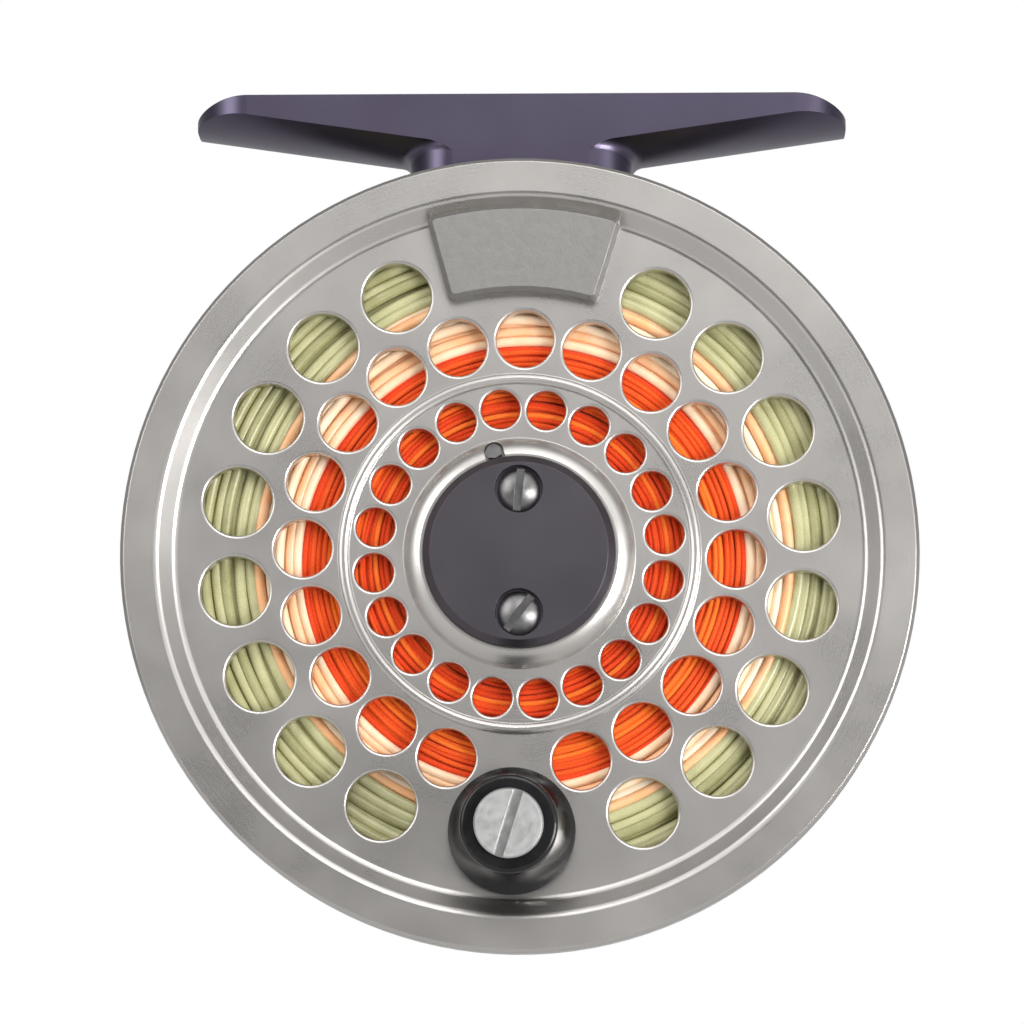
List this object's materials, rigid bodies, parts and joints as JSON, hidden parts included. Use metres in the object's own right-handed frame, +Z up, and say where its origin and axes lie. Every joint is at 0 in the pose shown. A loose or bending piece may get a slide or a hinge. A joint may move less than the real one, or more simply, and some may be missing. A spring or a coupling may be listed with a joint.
{
  "type": "fly fishing reel",
  "caption": "Single-action click-and-pawl fly reel: ported spool with an exposed palming rim, counterweight and crank knob, pillar frame and a saddle foot, wound with line.",
  "frame": {"origin": "middle of the reel foot's saddle, on the line where a rod's reel seat bears", "axes": "+X along the rod, +Z up from the reel through its foot, and the spool turns about an axle along Y with its handle towards -Y"},
  "size_m": [0.0762, 0.0388, 0.0836],
  "materials": {
    "spool_metal": "satin anodised",
    "frame_metal": "satin anodised gunmetal",
    "cover_metal": "satin anodised dark grey",
    "brass": "turned",
    "steel": "turned",
    "latch_steel": "satin",
    "screw_steel": "polished",
    "cast_weight": "cast, matt",
    "knob": "polished",
    "backing": "braided",
    "running_line": "coated",
    "fly_line": "coated"
  },
  "bodies": {
    "frame": {"axle_nut": "steel", "back_plate": "frame_metal", "bridge_pillar": "frame_metal", "bridge_screws": "screw_steel", "click_spring_a": "steel", "click_spring_b": "steel", "foot_screws": "screw_steel", "frame_pillar_1": "frame_metal", "frame_pillar_2": "frame_metal", "frame_pillar_3": "frame_metal", "frame_pillar_4": "frame_metal", "frame_pillar_5": "frame_metal", "front_ring": "frame_metal", "pawl_posts": "steel", "pillar_screws": "screw_steel", "reel_foot": "frame_metal", "spool_axle": "steel", "spring_posts": "steel"},
    "spool": {"spool": "spool_metal", "front_bushing": "brass", "back_bushing": "brass", "click_gear": "brass", "gear_screws": "screw_steel", "backing_line": "backing", "running_line": "running_line", "fly_line": "fly_line", "counterweight": "cast_weight", "counterweight_rivets": "steel", "latch_cover": "cover_metal", "cover_screws": "screw_steel", "latch_spring": "steel", "handle_post": "steel", "handle_washer": "steel", "knob_screw": "screw_steel"},
    "knob": {"handle_knob": "knob"},
    "latch": {"release_latch": "latch_steel"},
    "pawl_a": {"click_pawl_a": "steel"},
    "pawl_b": {"click_pawl_b": "steel"}
  },
  "joints": [
    {"name": "spool_turn", "type": "hinge", "parent": "frame", "child": "spool", "pos_m": [0, 0, -0.0433], "axis": [0, -1, 0], "continuous": true},
    {"name": "knob_turn", "type": "hinge", "parent": "spool", "child": "knob", "pos_m": [-0.0007, 0, -0.06989], "axis": [0, -1, 0], "continuous": true},
    {"name": "latch_push", "type": "slide", "parent": "spool", "child": "latch", "axis": [0.2419, 0, -0.9703], "range_m": [0, 0.0007], "stiffness_N_per_m": 600, "springref_m": -0.0005},
    {"name": "pawl_a_rock", "type": "hinge", "parent": "frame", "child": "pawl_a", "pos_m": [0.0125, 0, -0.0433], "axis": [0, -1, 0], "range_deg": [-8, 8], "stiffness_Nm_per_rad": 0.002},
    {"name": "pawl_b_rock", "type": "hinge", "parent": "frame", "child": "pawl_b", "pos_m": [-0.0125, 0, -0.0433], "axis": [0, -1, 0], "range_deg": [-8, 8], "stiffness_Nm_per_rad": 0.002}
  ]
}
